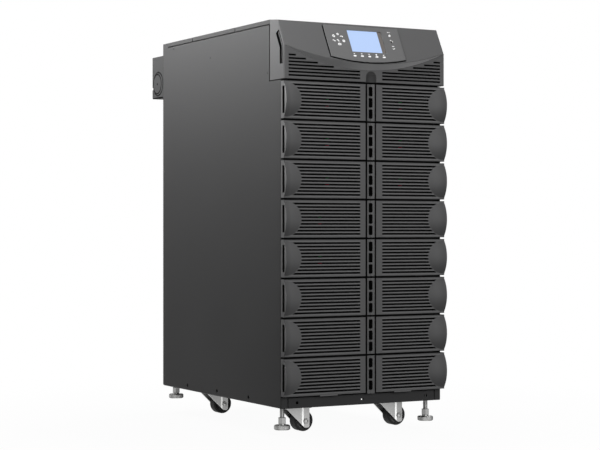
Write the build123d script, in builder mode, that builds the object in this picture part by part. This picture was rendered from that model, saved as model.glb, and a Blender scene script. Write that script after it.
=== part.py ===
"""Modular UPS cabinet: a tower of plug-in modules on casters, with a control head on top.

Millimetres. X runs to the right, Y to the back and Z up. The origin is on the floor,
under the middle of the cabinet's outline.
"""

import os
from math import sqrt

from build123d import *

os.makedirs("parts", exist_ok=True)

# Cabinet body
width = 440.0
body_depth = 662.0
ground_clearance = 67.0
skirt_height = 26.5
head_height = 144.5
sheet = 2.0
floor_sheet = 3.0
joint_gap = 1.5
wrap_gap = 3.0
seat_gap = 0.3
cut_overrun = 5.0

# Side panels and skirt
front_flange = 18.0
bottom_flange = 10.0
bend_radius = 4.0
panel_corner = 5.0
side_hole = 8.0
side_hole_rise = 13.0
side_hole_first = 164.0
side_hole_pitch = 172.5
side_holes = 3
skirt_hole = 7.0
skirt_hole_inset = 43.0
skirt_hole_rise = 12.6

# Rows of modules
row_count = 8
row_pitch = 91.5
row_gap = 4.0
bezel_proud = 15.5
bezel_wall = 2.5
tab_width = 48.0
tab_inset = 118.5
tab_drop = 2.2
housing_back_room = 68.0

# Centre strip between the two columns
strip_centre = 13.8
strip_width = 20.6
strip_setback = 1.5
strip_left_gap = 5.3
strip_right_gap = 3.0
strip_groove_width = 18.0
strip_groove_depth = 2.0
strip_window_width = 10.4
strip_window_height = 22.0
strip_window_pitch = 26.5
strip_window_corner = 2.6
strip_windows = 3
strip_tail = 2.6

# Ear and finger pocket at the outer end of each module bezel
ear_bulge = 12.5
ear_half_chord = 40.0
ear_inset = 5.0
ear_strip = 9.0
pocket_height = 62.0
pocket_depth = 20.0
pocket_width = 8.4
quarter_turn = 90.0

# Grille slots
slot_count = 10
slot_pitch = 7.8
slot_height = 3.8
slot_arc_radius = 41.0
slot_to_strip = 30.5

# Control head
fold_height = 79.5
slope_run = 32.5
slope_rise = 61.0
head_wrap = 54.0
head_wall = 3.0
chin_depth = 19.2
chin_sag = 49.0
head_slot_count = 7
head_slot_first = 10.7
head_slot_margin = 12.0
head_slot_clear = 12.4
head_slot_sag = 39.5
niche_width = 29.0
niche_depth = 8.0
niche_height = 27.0
head_edge_round = 3.0
grip_width = 16.5
grip_setback = 4.5
grip_below_fold = 42.0
grip_above_fold = 34.0
grip_recess = 4.0
tongue_reach = 13.0
tongue_thickness = 2.5

# Control panel on the sloping face
panel_half_width = 102.0
panel_top = 62.0
panel_corner_drop = 24.7
panel_chin_drop = 36.8
panel_inset = 1.5
panel_thickness = 3.5
panel_seam = 1.4
display_width = 94.0
display_height = 61.0
display_left = 41.0
display_bottom = 9.4
display_thickness = 2.0
display_fit = 0.4
button_count = 5
button_pitch = 20.0
button_middle = 2.4
button_length = 7.6
button_width = 3.6
button_drop = 21.3
button_proud = 0.8
button_fit = 0.25

# Top cover and back
cover_lip = 10.5
cover_back_tab = 31.0
cover_sheet = 2.0
lip_notch = 2.0
lip_notch_first = 237.0
lip_notch_pitch = 242.0
lip_notches = 2

# Rear wiring box
box_depth = 70.0
box_bottom = 829.0
box_height = 111.0
box_sheet = 1.5
box_corner = 5.0
box_notch_rise = 27.5
box_notch_height = 6.5
box_notch_depth = 5.0
knockout_outer = 61.0
knockout_inner = 50.0
knockout_line = 1.4
knockout_rise = 38.5
knockout_setback = 38.5
knockout_tie = 3.0
dimple_diameter = 5.0
dimple_depth = 0.8

# Casters
caster_side_inset = 90.0
caster_front_inset = 105.0
caster_back_inset = 119.0
caster_trail = 21.0
wheel_diameter = 50.0
wheel_width = 28.0
wheel_round = 2.5
hub_diameter = 20.0
web_recess = 3.0
web_outer = 38.0
axle_diameter = 8.0
axle_fit = 0.05
axle_head = 13.0
axle_head_height = 3.0
axle_head_chamfer = 0.8
fork_clearance = 5.0
fork_sheet = 2.5
leg_ahead = 10.0
leg_below = 15.5
leg_tip = 12.5
leg_tip_round = 5.0
leg_step = 1.5
leg_step_run = 4.0
leg_step_setback = 5.5
crown_thickness = 3.0
crown_clearance = 5.0
crown_reach = 28.0
race_diameter = 38.0
boss_height = 2.2
boss_diameter = 35.0
kingpin_diameter = 10.0
kingpin_head = 17.0
kingpin_head_height = 2.0
plate_size = 62.0
plate_thickness = 2.5

# Levelling feet
foot_side_inset = 22.0
foot_front_inset = 35.0
foot_back_inset = 35.0
stud_diameter = 10.0
stud_fit = 0.1
stud_above_floor = 12.0
nut_flats = 17.0
nut_height = 14.0
neck_diameter = 15.0
neck_height = 3.0
pad_diameter = 37.0
pad_height = 11.0
pad_chamfer = 1.5
front_pad_lift = 15.0
back_pad_lift = 36.0

# Places along the depth and the height
chin_reach = bezel_proud + chin_depth
total_depth = chin_reach + body_depth + box_depth
front = chin_reach - total_depth / 2
back = front + body_depth
face = front - bezel_proud
body_bottom = ground_clearance
rows_bottom = body_bottom + skirt_height
rows_top = rows_bottom + row_count * row_pitch
body_top = rows_top + head_height
head_bottom = rows_top + row_gap / 2
fold = rows_top + fold_height
wrap = front + head_wrap
half_width = width / 2
inner_half_width = half_width - sheet
floor_half_width = half_width - bottom_flange - seat_gap
skirt_half_width = half_width - front_flange - joint_gap
foot_x = half_width - foot_side_inset
caster_x = half_width - caster_side_inset
feet_places = [
    (x, y, lift)
    for x in (-foot_x, foot_x)
    for y, lift in (
        (front + foot_front_inset, front_pad_lift),
        (back - foot_back_inset, back_pad_lift),
    )
]
bezel_height = row_pitch - row_gap
strip_left = strip_centre - strip_width / 2
strip_right = strip_centre + strip_width / 2

body_plane = Plane.XZ.offset(-front)
face_plane = Plane.XZ.offset(-face)
slope_plane = Plane(
    origin=(0, face, fold), x_dir=(1, 0, 0), z_dir=(0, -slope_rise, slope_run)
)


def save(part, name):
    """Label one piece and write it to its own file."""
    part.label = name
    export_step(part, f"parts/{name}.step")


def sagitta_radius(half_chord, rise):
    """Radius of the arc that rises by one length over a half chord."""
    return (half_chord**2 + rise**2) / (2 * rise)


# Base pan: folded floor with the skirt below the modules
with BuildPart() as base_pan:
    with BuildSketch(Plane.XY.offset(body_bottom)):
        with Locations((0, front)):
            Rectangle(2 * skirt_half_width, body_depth / 2, align=(Align.CENTER, Align.MIN))
        with Locations((0, back - panel_corner)):
            Rectangle(
                2 * floor_half_width,
                body_depth - panel_corner - sheet - seat_gap,
                align=(Align.CENTER, Align.MAX),
            )
        with Locations(*[(x, y) for x, y, lift in feet_places]):
            Circle(stud_diameter / 2 + stud_fit, mode=Mode.SUBTRACT)
    extrude(amount=floor_sheet)
    with BuildSketch(body_plane):
        with Locations((0, body_bottom)):
            Rectangle(
                2 * skirt_half_width,
                skirt_height - row_gap / 2,
                align=(Align.CENTER, Align.MIN),
            )
        skirt_hole_x = half_width - skirt_hole_inset
        with Locations(*[(x, body_bottom + skirt_hole_rise) for x in (-skirt_hole_x, skirt_hole_x)]):
            Circle(skirt_hole / 2, mode=Mode.SUBTRACT)
    extrude(amount=-sheet)
save(base_pan.part, "base_pan")

# Dark chassis face behind the module bezels and the head
with BuildPart() as front_plate:
    with BuildSketch(body_plane):
        with Locations((0, rows_bottom - row_gap / 2)):
            Rectangle(
                2 * (half_width - front_flange - seat_gap),
                rows_top - rows_bottom + row_gap,
                align=(Align.CENTER, Align.MIN),
            )
        with Locations((0, head_bottom)):
            Rectangle(
                2 * (half_width - head_wall - seat_gap),
                fold_height - row_gap / 2,
                align=(Align.CENTER, Align.MIN),
            )
    extrude(amount=-sheet)
save(front_plate.part, "front_plate")

# Closed housings of the modules, two to a row, behind the chassis face
housing_outer = half_width - front_flange - joint_gap
with BuildPart() as module_housings:
    with BuildSketch(body_plane.offset(-sheet)):
        for row in range(row_count):
            middle_z = rows_bottom + (row + 1 / 2) * row_pitch
            for side in (-1, 1):
                housing_inner = strip_centre + side * row_gap / 2
                with Locations(((side * housing_outer + housing_inner) / 2, middle_z)):
                    Rectangle(abs(side * housing_outer - housing_inner), bezel_height)
    extrude(amount=-(body_depth - sheet - sheet - housing_back_room))
save(module_housings.part, "module_housings")

# Side panels: sheets folded in at the front and the bottom, notched for the head,
# the cover's lip and the back tab
side_outline = [
    (front, body_bottom),
    (back, body_bottom),
    (back, body_top),
    (back - cover_back_tab, body_top),
    (back - cover_back_tab, body_top - cover_lip - joint_gap),
    (wrap + wrap_gap, body_top - cover_lip - joint_gap),
    (wrap + wrap_gap, head_bottom - joint_gap),
    (front, head_bottom - joint_gap),
]
for side, side_name in ((-1, "left_side_panel"), (1, "right_side_panel")):
    with BuildPart() as side_panel:
        with BuildSketch(Plane.YZ.offset(side * half_width)):
            with BuildLine():
                Polyline(*side_outline, close=True)
            make_face()
        extrude(amount=-side * sheet)
        with BuildSketch(body_plane):
            with Locations((side * (half_width - front_flange / 2), body_bottom)):
                Rectangle(
                    front_flange,
                    head_bottom - joint_gap - body_bottom,
                    align=(Align.CENTER, Align.MIN),
                )
        extrude(amount=-sheet)
        with BuildSketch(Plane.XY.offset(body_bottom)):
            with Locations((side * (half_width - bottom_flange / 2), front)):
                Rectangle(bottom_flange, body_depth, align=(Align.CENTER, Align.MIN))
        extrude(amount=sheet)
        outer_edges = side_panel.faces().sort_by(Axis.X)[0 if side < 0 else -1].edges()
        bends = [
            outer_edges.filter_by(Axis.Z).sort_by(Axis.Y)[0],
            outer_edges.filter_by(Axis.Y).sort_by(Axis.Z)[0],
        ]
        fillet(bends, bend_radius)
        with BuildSketch(Plane.YZ.offset(side * (half_width + cut_overrun))):
            with Locations((front + side_hole_first, body_bottom + side_hole_rise)):
                for hole in range(side_holes):
                    with Locations((hole * side_hole_pitch, 0)):
                        Circle(side_hole / 2)
            with Locations((back, body_bottom)):
                Rectangle(2 * panel_corner, 2 * panel_corner)
            with Locations((back - panel_corner, body_bottom + panel_corner)):
                Circle(panel_corner, mode=Mode.SUBTRACT)
        extrude(amount=-side * (bottom_flange + 2 * cut_overrun), mode=Mode.SUBTRACT)
    save(side_panel.part, side_name)

# Top cover: one sheet with a lip folded down over each side
with BuildPart() as top_cover:
    with BuildSketch(Plane.YZ.offset(-half_width)):
        with BuildLine():
            Polyline(
                (wrap, body_top),
                (back - cover_back_tab, body_top),
                (back - cover_back_tab, body_top - cover_lip),
                (wrap, body_top - cover_lip),
                close=True,
            )
        make_face()
    extrude(amount=width)
    with BuildSketch(Plane.YZ.offset(-inner_half_width)):
        with BuildLine():
            Polyline(
                (wrap - cut_overrun, body_top - cover_sheet),
                (back - cover_back_tab + cut_overrun, body_top - cover_sheet),
                (back - cover_back_tab + cut_overrun, body_top - cover_lip - cut_overrun),
                (wrap - cut_overrun, body_top - cover_lip - cut_overrun),
                close=True,
            )
        make_face()
    extrude(amount=2 * inner_half_width, mode=Mode.SUBTRACT)
    with BuildSketch(Plane.XY.offset(body_top)):
        with Locations((0, back - cover_back_tab)):
            Rectangle(
                2 * inner_half_width,
                cover_back_tab,
                align=(Align.CENTER, Align.MIN),
            )
    extrude(amount=-cover_sheet)
    with BuildSketch(Plane.YZ.offset(-half_width - cut_overrun)):
        for notch in range(lip_notches):
            notch_y = front + lip_notch_first + notch * lip_notch_pitch
            with Locations((notch_y, body_top - cover_sheet)):
                Rectangle(lip_notch, cover_lip, align=(Align.CENTER, Align.MAX))
    extrude(amount=width + 2 * cut_overrun, mode=Mode.SUBTRACT)
save(top_cover.part, "top_cover")

# Back panel between the sides
with BuildPart() as back_panel:
    with BuildSketch(Plane.XZ.offset(-back)):
        with Locations((0, body_bottom + panel_corner)):
            Rectangle(
                2 * inner_half_width,
                body_top - cover_sheet - body_bottom - panel_corner,
                align=(Align.CENTER, Align.MIN),
            )
    extrude(amount=sheet)
save(back_panel.part, "back_panel")

# Rear wiring box: a top and two ends, closed by a cover folded round the back and the bottom.
# Each end has a notch in its back edge and an eccentric pair of conduit knockouts.
box_top = box_bottom + box_height
box_back = back + box_depth
knockout_z = box_bottom + knockout_rise
inner_place = (back + knockout_setback, knockout_z)
outer_place = (back + knockout_setback - (knockout_outer - knockout_inner) / 2, knockout_z)
inner_hole = knockout_inner / 2 + knockout_line
notch_depth = box_notch_depth + cut_overrun
with BuildSketch(Plane.XZ.offset(-box_back - cut_overrun)) as notch_shape:
    with Locations(*[(x, box_bottom + box_notch_rise) for x in (-half_width, half_width)]):
        Rectangle(2 * (box_notch_depth + box_sheet), box_notch_height)

with BuildPart() as wiring_box:
    with BuildSketch(Plane.YZ.offset(-half_width)) as box_end:
        with Locations((back, box_bottom)):
            Rectangle(box_depth, box_height, align=(Align.MIN, Align.MIN))
        back_corners = box_end.vertices().group_by(Axis.X)[-1]
        fillet(back_corners.sort_by(Axis.Y)[0], box_corner)
    extrude(amount=width)
    with BuildSketch(Plane.YZ.offset(-half_width + box_sheet)):
        with Locations((back - cut_overrun, box_top - box_sheet)):
            Rectangle(
                box_depth + 2 * cut_overrun,
                box_height + cut_overrun,
                align=(Align.MIN, Align.MAX),
            )
    extrude(amount=width - 2 * box_sheet, mode=Mode.SUBTRACT)
    with BuildSketch(Plane.YZ.offset(-half_width)):
        with Locations(inner_place):
            Circle(inner_hole)
    extrude(amount=width, mode=Mode.SUBTRACT)
    with BuildSketch(Plane.YZ.offset(-half_width)):
        with Locations(outer_place):
            Circle(knockout_outer / 2)
            Circle(knockout_outer / 2 - knockout_line, mode=Mode.SUBTRACT)
            Rectangle(
                knockout_outer,
                knockout_outer + cut_overrun,
                align=(Align.MIN, Align.CENTER),
                mode=Mode.SUBTRACT,
            )
    extrude(amount=width, mode=Mode.SUBTRACT)
    extrude(notch_shape.sketch, amount=notch_depth, mode=Mode.SUBTRACT)
save(wiring_box.part, "wiring_box")

with BuildPart() as wiring_box_cover:
    with BuildSketch(Plane.YZ.offset(-half_width + box_sheet)) as folded_sheet:
        with Locations((back, box_bottom)):
            Rectangle(box_depth, box_height - box_sheet, align=(Align.MIN, Align.MIN))
        back_corners = folded_sheet.vertices().group_by(Axis.X)[-1]
        fillet(back_corners.sort_by(Axis.Y)[0], box_corner)
    extrude(amount=width - 2 * box_sheet)
    with BuildSketch(Plane.YZ.offset(-half_width)) as box_space:
        with Locations((back - cut_overrun, box_bottom + box_sheet)):
            Rectangle(
                box_depth - box_sheet + cut_overrun,
                box_height + cut_overrun,
                align=(Align.MIN, Align.MIN),
            )
        back_corners = box_space.vertices().group_by(Axis.X)[-1]
        fillet(back_corners.sort_by(Axis.Y)[0], box_corner - box_sheet)
    extrude(amount=width, mode=Mode.SUBTRACT)
    extrude(notch_shape.sketch, amount=notch_depth, mode=Mode.SUBTRACT)
save(wiring_box_cover.part, "wiring_box_cover")

with BuildPart() as knockouts:
    for side in (-1, 1):
        with BuildSketch(Plane.YZ.offset(side * half_width)):
            with Locations(inner_place):
                Rectangle(knockout_tie, 2 * inner_hole + cut_overrun)
                Circle(inner_hole, mode=Mode.INTERSECT)
                Circle(knockout_inner / 2)
        extrude(amount=-side * box_sheet)
        with BuildSketch(Plane.YZ.offset(side * half_width)):
            with Locations(inner_place):
                Circle(dimple_diameter / 2)
        extrude(amount=-side * dimple_depth, mode=Mode.SUBTRACT)
save(knockouts.part, "knockouts")


# Module bezels: hollow mouldings with an ear, a finger pocket and a grille
ear_radius = sagitta_radius(ear_half_chord, ear_bulge)
ear_centre_y = face - ear_bulge + ear_radius


def module_bezel(side, inner_edge):
    """Bezel of the lowest row: its outer edge is on the cabinet's side, its inner one at the strip."""
    outer_edge = side * half_width
    inward = -side
    middle_z = rows_bottom + row_pitch / 2
    middle_x = (outer_edge + inner_edge) / 2
    face_width = abs(outer_edge - inner_edge)
    ear_centre = (outer_edge + inward * ear_inset, ear_centre_y, middle_z)
    ear_box_width = ear_half_chord + ear_inset + cut_overrun

    with BuildPart() as ear:
        with Locations(ear_centre):
            Sphere(ear_radius)
        with Locations((outer_edge + inward * ear_box_width / 2, face - ear_bulge / 2, middle_z)):
            Box(ear_box_width, ear_bulge, bezel_height, mode=Mode.INTERSECT)

    with BuildPart() as bezel:
        with BuildSketch(body_plane):
            with Locations((middle_x, middle_z)):
                Rectangle(face_width, bezel_height)
        extrude(amount=bezel_proud)
        add(ear.part)
        hollow_outer = outer_edge + inward * (pocket_depth + bezel_wall)
        hollow_inner = inner_edge - inward * bezel_wall
        with BuildSketch(body_plane):
            with Locations(((hollow_outer + hollow_inner) / 2, middle_z)):
                Rectangle(abs(hollow_inner - hollow_outer), bezel_height - 2 * bezel_wall)
        extrude(amount=bezel_proud - bezel_wall, mode=Mode.SUBTRACT)
        with BuildSketch(Plane.YZ.offset(outer_edge + inward * pocket_depth)):
            with Locations((front - ear_strip - pocket_width / 2, middle_z)):
                SlotOverall(pocket_height, pocket_width, rotation=quarter_turn)
        extrude(amount=side * (pocket_depth + cut_overrun), mode=Mode.SUBTRACT)
        slot_end = strip_centre + side * slot_to_strip
        slot_start = hollow_outer
        with BuildSketch(face_plane):
            with Locations(((slot_start + slot_end) / 2, middle_z)):
                with GridLocations(0, slot_pitch, 1, slot_count):
                    Rectangle(abs(slot_end - slot_start), slot_height)
            with Locations((outer_edge + inward * ear_inset, middle_z)):
                Circle(slot_arc_radius, mode=Mode.SUBTRACT)
        extrude(amount=-bezel_wall, mode=Mode.SUBTRACT)
    return bezel.part


left_bezel = module_bezel(-1, strip_left - strip_left_gap)
right_bezel = module_bezel(1, strip_right + strip_right_gap)
for side_name, bezel, side in (("left", left_bezel, -1), ("right", right_bezel, 1)):
    for row in range(1, row_count):
        place = Location((0, 0, row * row_pitch))
        save(bezel.moved(place), f"{side_name}_bezel_{row_count - row}")
    # The lowest bezel has a tab that hangs over the skirt
    with BuildPart() as lowest_bezel:
        add(bezel)
        with BuildSketch(body_plane):
            with Locations((side * (half_width - tab_inset), rows_bottom + row_gap / 2)):
                Rectangle(tab_width, tab_drop, align=(Align.CENTER, Align.MAX))
        extrude(amount=bezel_proud)
    save(lowest_bezel.part, f"{side_name}_bezel_{row_count}")


# Centre strips: one grooved moulding with three windows for each row
groove_radius = sagitta_radius(strip_groove_width / 2, strip_groove_depth)
strip_proud = bezel_proud - strip_setback
with BuildPart() as vent_strips:
    for row in range(row_count):
        middle_z = rows_bottom + (row + 1 / 2) * row_pitch
        tail = strip_tail if row == 0 else 0
        with BuildSketch(Plane.XY.offset(middle_z - bezel_height / 2 - tail)):
            with Locations((strip_centre, front)):
                Rectangle(strip_width, strip_proud, align=(Align.CENTER, Align.MAX))
            with Locations((strip_centre, front - strip_proud + strip_groove_depth - groove_radius)):
                Circle(groove_radius, mode=Mode.SUBTRACT)
            with Locations((strip_centre, front)):
                Rectangle(
                    strip_width - 2 * bezel_wall,
                    strip_proud - strip_groove_depth - bezel_wall,
                    align=(Align.CENTER, Align.MAX),
                    mode=Mode.SUBTRACT,
                )
        extrude(amount=bezel_height + tail)
        with BuildSketch(face_plane):
            with Locations((strip_centre, middle_z)):
                with GridLocations(0, strip_window_pitch, 1, strip_windows):
                    RectangleRounded(strip_window_width, strip_window_height, strip_window_corner)
        extrude(amount=-bezel_proud, mode=Mode.SUBTRACT)
save(vent_strips.part, "vent_strips")


# Control head: a moulded hood with a sloping face and a chin that swells in the middle
slope_top_y = face + slope_run
slope_top_z = fold + slope_rise
slope_length = sqrt(slope_run**2 + slope_rise**2)
fold_lean = (slope_length - slope_rise) / slope_run
chin_half_width = half_width - head_edge_round



def bent_band(near, far):
    """Band of a side wall between two distances from the front edge, bent with it at the fold."""
    middle = (near + far) / 2
    bend_z = fold - middle * fold_lean
    top_z = fold + grip_above_fold
    with BuildSketch(Plane.YZ) as band:
        with BuildLine() as band_middle:
            Polyline(
                (face + middle, fold - grip_below_fold),
                (face + middle, bend_z),
                (face + middle + (top_z - bend_z) * slope_run / slope_rise, top_z),
            )
        trace(band_middle.line, line_width=far - near)
    return band.sketch


grip_shape = bent_band(grip_setback, grip_setback + grip_width)
tongue_shape = bent_band(head_wall / 2, tongue_reach)

with BuildPart() as chin:
    with BuildSketch(face_plane):
        with BuildLine():
            ThreePointArc((-chin_half_width, fold), (0, fold - chin_sag), (chin_half_width, fold))
            Line((chin_half_width, fold), (-chin_half_width, fold))
        make_face()
    extrude(
        amount=chin_sag + chin_depth,
        dir=(0, -chin_depth, chin_sag - chin_depth * slope_rise / slope_run),
    )
    split(bisect_by=slope_plane, keep=Keep.BOTTOM)

with BuildPart() as head_bezel:
    with BuildSketch(Plane.YZ.offset(-half_width)):
        with BuildLine():
            Polyline(
                (face, head_bottom),
                (face, fold),
                (slope_top_y, slope_top_z),
                (wrap, body_top),
                (wrap, head_bottom),
                close=True,
            )
        make_face()
    extrude(amount=width)
    with BuildSketch(Plane.YZ.offset(-half_width + head_wall)):
        with BuildLine():
            Polyline(
                (face + head_wall, head_bottom + head_wall),
                (face + head_wall, fold - head_wall * fold_lean),
                (slope_top_y + head_wall, slope_top_z - head_wall),
                (wrap + cut_overrun, body_top - head_wall),
                (wrap + cut_overrun, head_bottom - cut_overrun),
                (front, head_bottom - cut_overrun),
                (front, head_bottom + head_wall),
                close=True,
            )
        make_face()
    extrude(amount=width - 2 * head_wall, mode=Mode.SUBTRACT)
    walls = head_bezel.faces().sort_by(Axis.X)
    front_edges = [edge for wall in (walls[0], walls[-1]) for edge in wall.edges().sort_by(Axis.Y)[:2]]
    fillet(front_edges, head_edge_round)
    add(chin.part)
    # Boss behind the niche at the top of the centre strip
    with BuildSketch(body_plane):
        with Locations((strip_centre, head_bottom)):
            Rectangle(
                niche_width + 2 * head_wall,
                niche_height + head_wall,
                align=(Align.CENTER, Align.MIN),
            )
    extrude(amount=bezel_proud)
    niche_radius = sagitta_radius(niche_width / 2, niche_depth)
    niche_dome_z = head_bottom + niche_height - niche_width / 2
    with Locations((strip_centre, face + niche_depth - niche_radius, niche_dome_z)):
        Sphere(niche_radius, mode=Mode.SUBTRACT)
        Cylinder(
            niche_radius,
            niche_dome_z - head_bottom + cut_overrun,
            align=(Align.CENTER, Align.CENTER, Align.MAX),
            mode=Mode.SUBTRACT,
        )
    # Slots in the lower corners, each ending short of the chin's lower curve
    with BuildSketch(face_plane):
        for level in range(head_slot_count):
            slot_z = rows_top + head_slot_first + level * slot_pitch
            smile_drop = fold - slot_z - head_slot_clear
            smile_reach = chin_half_width * sqrt(max(0, 1 - smile_drop / head_slot_sag))
            for side in (-1, 1):
                slot_outer = side * (half_width - head_slot_margin)
                slot_inner = strip_centre + side * slot_to_strip
                if smile_reach > abs(slot_inner):
                    slot_inner = side * smile_reach
                with Locations(((slot_outer + slot_inner) / 2, slot_z)):
                    Rectangle(abs(slot_outer - slot_inner), slot_height)
    extrude(amount=-head_wall, mode=Mode.SUBTRACT)
    # Grip slots through both side walls, each with a tongue behind its front half
    extrude(grip_shape, amount=half_width + cut_overrun, both=True, mode=Mode.SUBTRACT)
    for side in (-1, 1):
        tongue_place = Location((side * (half_width - grip_recess), 0, 0))
        extrude(tongue_shape.moved(tongue_place), amount=-side * tongue_thickness)
    # Shallow seat for the control panel
    with BuildSketch(slope_plane):
        with BuildLine():
            Polyline(
                (-panel_half_width - panel_seam, -panel_corner_drop),
                (-panel_half_width - panel_seam, panel_top + panel_seam),
                (panel_half_width + panel_seam, panel_top + panel_seam),
                (panel_half_width + panel_seam, -panel_corner_drop),
            )
            ThreePointArc(
                (-panel_half_width - panel_seam, -panel_corner_drop),
                (0, -panel_chin_drop - panel_seam),
                (panel_half_width + panel_seam, -panel_corner_drop),
            )
        make_face()
    extrude(amount=-panel_inset, mode=Mode.SUBTRACT)
save(head_bezel.part, "head_bezel")

# Control panel with the window of the display and the holes of the buttons
seat_plane = slope_plane.offset(-panel_inset)
display_middle = display_width / 2 - display_left
display_level = display_height / 2 - display_bottom
with BuildPart() as control_panel:
    with BuildSketch(seat_plane):
        with BuildLine():
            Polyline(
                (-panel_half_width, -panel_corner_drop),
                (-panel_half_width, panel_top),
                (panel_half_width, panel_top),
                (panel_half_width, -panel_corner_drop),
            )
            ThreePointArc(
                (-panel_half_width, -panel_corner_drop),
                (0, -panel_chin_drop),
                (panel_half_width, -panel_corner_drop),
            )
        make_face()
        with Locations((display_middle, display_level)):
            Rectangle(display_width, display_height, mode=Mode.SUBTRACT)
        with Locations((button_middle, -button_drop)):
            with GridLocations(button_pitch, 0, button_count, 1):
                SlotOverall(button_length, button_width, mode=Mode.SUBTRACT)
    extrude(amount=panel_thickness)
save(control_panel.part, "control_panel")

with BuildPart() as display:
    with BuildSketch(seat_plane):
        with Locations((display_middle, display_level)):
            Rectangle(display_width - 2 * display_fit, display_height - 2 * display_fit)
    extrude(amount=display_thickness)
save(display.part, "display")

with BuildPart() as buttons:
    with BuildSketch(seat_plane):
        with Locations((button_middle, -button_drop)):
            with GridLocations(button_pitch, 0, button_count, 1):
                SlotOverall(button_length - 2 * button_fit, button_width - 2 * button_fit)
    extrude(amount=panel_thickness + button_proud)
save(buttons.part, "buttons")


# Levelling feet: pad, neck and stud in one piece, with a lock nut on the neck
with BuildPart() as levelling_feet:
    for x, y, lift in feet_places:
        with BuildSketch(Plane((x, y, lift))):
            Circle(pad_diameter / 2)
        pad = extrude(amount=pad_height)
        chamfer(pad.edges().filter_by(GeomType.CIRCLE), pad_chamfer)
        with BuildSketch(Plane((x, y, lift + pad_height))):
            Circle(neck_diameter / 2)
        extrude(amount=neck_height)
        stud_bottom = lift + pad_height + neck_height
        with BuildSketch(Plane((x, y, stud_bottom))):
            Circle(stud_diameter / 2)
        extrude(amount=body_bottom + floor_sheet + stud_above_floor - stud_bottom)
save(levelling_feet.part, "levelling_feet")

with BuildPart() as lock_nuts:
    for x, y, lift in feet_places:
        with BuildSketch(Plane((x, y, lift + pad_height + neck_height))):
            RegularPolygon(nut_flats / 2, 6, major_radius=False)
            Circle(stud_diameter / 2 + stud_fit, mode=Mode.SUBTRACT)
        extrude(amount=nut_height)
save(lock_nuts.part, "lock_nuts")


# Casters: a plate with kingpin, a pressed fork, an axle and a wheel, each built round a
# kingpin that stands over the origin
wheel_radius = wheel_diameter / 2
crown_bottom = wheel_diameter + crown_clearance
crown_top = crown_bottom + crown_thickness
boss_top = crown_top + boss_height
race_bottom = boss_top + seat_gap
plate_bottom = body_bottom - plate_thickness
leg_inner = wheel_width / 2 + fork_clearance
leg_outer = leg_inner + fork_sheet
leg_front = caster_trail + leg_ahead
leg_bottom = wheel_radius - leg_below
axle_plane = Plane((caster_trail, 0, wheel_radius), z_dir=(0, -1, 0))

with BuildPart() as caster_plate:
    with BuildSketch(Plane.XY.offset(plate_bottom)):
        Rectangle(plate_size, plate_size)
    extrude(amount=plate_thickness)
    with BuildSketch(Plane.XY.offset(race_bottom)):
        Circle(race_diameter / 2)
    extrude(amount=plate_bottom - race_bottom)
    with BuildSketch(Plane.XY.offset(crown_bottom - seat_gap)):
        Circle(kingpin_diameter / 2)
    extrude(amount=race_bottom - crown_bottom + seat_gap)
    with BuildSketch(Plane.XY.offset(crown_bottom - seat_gap)):
        Circle(kingpin_head / 2)
    extrude(amount=-kingpin_head_height)


def leg_plan(half_span):
    """Plan of the fork: it spans the given half width and steps outwards near the axle."""
    step = caster_trail - leg_step_setback
    corners = [
        (-crown_reach - cut_overrun, half_span),
        (step - leg_step_run, half_span),
        (step, half_span + leg_step),
        (leg_front + cut_overrun, half_span + leg_step),
    ]
    with BuildSketch(Plane.XY.offset(leg_bottom - cut_overrun)) as plan:
        with BuildLine():
            Polyline(*corners, *[(x, -y) for x, y in reversed(corners)], close=True)
        make_face()
    return plan.sketch


with BuildPart() as caster_fork:
    with BuildSketch(Plane.XZ) as leg_outline:
        with BuildLine():
            Polyline(
                (leg_front, leg_bottom),
                (leg_front, crown_top),
                (-crown_reach, crown_top),
                (-crown_reach, crown_bottom),
                (leg_front - leg_tip, leg_bottom),
                close=True,
            )
        make_face()
        fillet(leg_outline.vertices().group_by(Axis.Y)[0], leg_tip_round)
    extrude(amount=leg_outer + cut_overrun, both=True)
    extrude(leg_plan(leg_outer), amount=crown_top + cut_overrun, mode=Mode.INTERSECT)
    extrude(
        leg_plan(leg_inner),
        amount=crown_bottom - leg_bottom + cut_overrun,
        mode=Mode.SUBTRACT,
    )
    with BuildSketch(Plane.XY.offset(crown_top)):
        Circle(boss_diameter / 2)
    extrude(amount=boss_height)
    with BuildSketch(Plane.XY.offset(crown_bottom)):
        Circle(kingpin_diameter / 2 + axle_fit)
    extrude(amount=boss_height + crown_thickness, mode=Mode.SUBTRACT)
    with BuildSketch(axle_plane):
        Circle(axle_diameter / 2)
    extrude(amount=leg_outer + leg_step, both=True, mode=Mode.SUBTRACT)

with BuildPart() as caster_axle:
    with BuildSketch(axle_plane):
        Circle(axle_diameter / 2)
    extrude(amount=leg_outer + leg_step, both=True)
    for side in (-1, 1):
        with BuildSketch(axle_plane.offset(side * (leg_outer + leg_step))):
            Circle(axle_head / 2)
        head = extrude(amount=side * axle_head_height)
        chamfer(head.edges().filter_by(GeomType.CIRCLE).sort_by(Axis.Y)[::side][0], axle_head_chamfer)

hub_half = leg_inner - seat_gap
wheel_half = wheel_width / 2
with BuildPart() as caster_wheel:
    with BuildSketch(Plane.XY.offset(wheel_radius)):
        with BuildLine():
            half_profile = [
                (axle_diameter / 2 + axle_fit, hub_half),
                (hub_diameter / 2, hub_half),
                (hub_diameter / 2, wheel_half - web_recess),
                (web_outer / 2, wheel_half - web_recess),
                (web_outer / 2, wheel_half),
                (wheel_radius - wheel_round, wheel_half),
                (wheel_radius, wheel_half - wheel_round),
            ]
            Polyline(*half_profile, *[(x, -y) for x, y in reversed(half_profile)], close=True)
        make_face()
    revolve(axis=Axis((0, 0, wheel_radius), (0, 1, 0)))
wheel_in_fork = caster_wheel.part.moved(Location((caster_trail, 0, 0)))

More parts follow.
